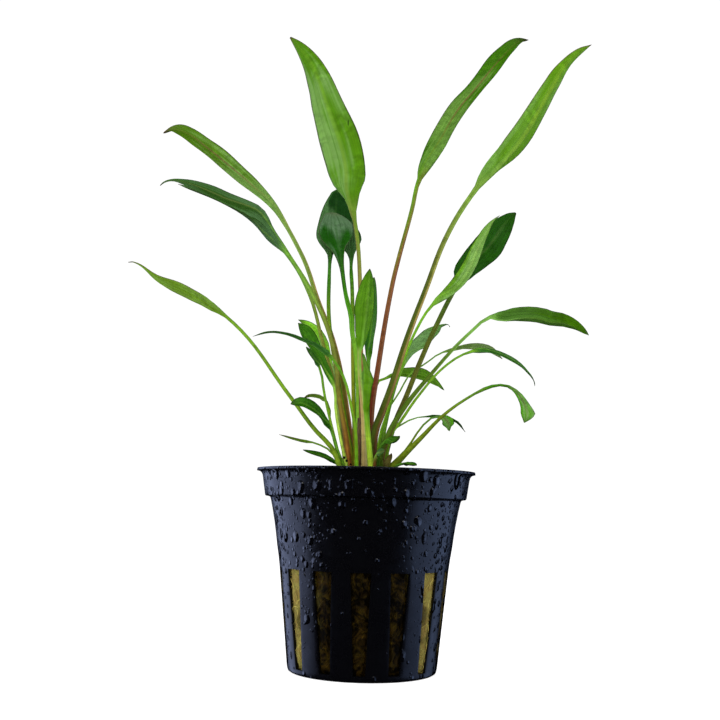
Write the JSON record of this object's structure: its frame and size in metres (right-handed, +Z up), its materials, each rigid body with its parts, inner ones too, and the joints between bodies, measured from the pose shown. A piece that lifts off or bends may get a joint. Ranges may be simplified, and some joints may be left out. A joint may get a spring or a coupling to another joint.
{
  "type": "potted cryptocoryne",
  "caption": "Young cryptocoryne water plant with a fan of long-stalked leaves, growing from a plug of rock wool in a slotted black plastic pot.",
  "frame": {"origin": "centre of the underside of the pot's base, on the pot's axis", "axes": "+Z up along the pot's axis; -Y towards the side that the picture shows, +X to the right in it"},
  "size_m": [0.117, 0.07, 0.1776],
  "materials": {
    "black_plastic": "satin",
    "rock_wool": "matte",
    "crown": "matte",
    "leaf_light": "satin",
    "leaf_mid": "satin",
    "leaf_dark": "satin",
    "brown_leaf": "matte"
  },
  "bodies": {
    "root": {"pot": "black_plastic", "rock_wool": "rock_wool", "crown": "crown", "leaf_top": "leaf_light", "leaf_top_right_rear": "leaf_mid", "leaf_top_right_front": "leaf_light", "leaf_upper_left_rear": "leaf_mid", "leaf_upper_left_front": "leaf_dark", "leaf_upper_left_inner": "leaf_dark", "leaf_left_long": "leaf_mid", "leaf_left_arching": "leaf_dark", "leaf_left_dark": "leaf_dark", "leaf_left_pale": "leaf_light", "leaf_left_small": "leaf_dark", "leaf_left_hooked": "leaf_dark", "leaf_left_thin": "leaf_mid", "leaf_left_low": "leaf_mid", "leaf_left_rim": "leaf_dark", "leaf_front": "leaf_light", "leaf_front_inner": "leaf_dark", "leaf_front_short": "leaf_light", "leaf_right_pale": "leaf_light", "leaf_right_dark": "leaf_dark", "leaf_right_long": "leaf_mid", "leaf_right_arching": "leaf_dark", "leaf_right_inner": "leaf_mid", "leaf_right_drooping": "leaf_mid", "leaf_right_thin": "leaf_dark", "leaf_right_small": "leaf_dark", "leaf_rear_low": "leaf_dark", "leaf_rear_right": "leaf_dark", "leaf_spoon_left": "leaf_dark", "leaf_spoon_middle": "leaf_dark", "leaf_spoon_right": "leaf_dark", "leaf_young_dark": "leaf_dark", "leaf_young_blue": "leaf_dark", "leaf_young_low": "leaf_dark", "bract": "brown_leaf", "cut_stub": "brown_leaf"}
  },
  "joints": []
}
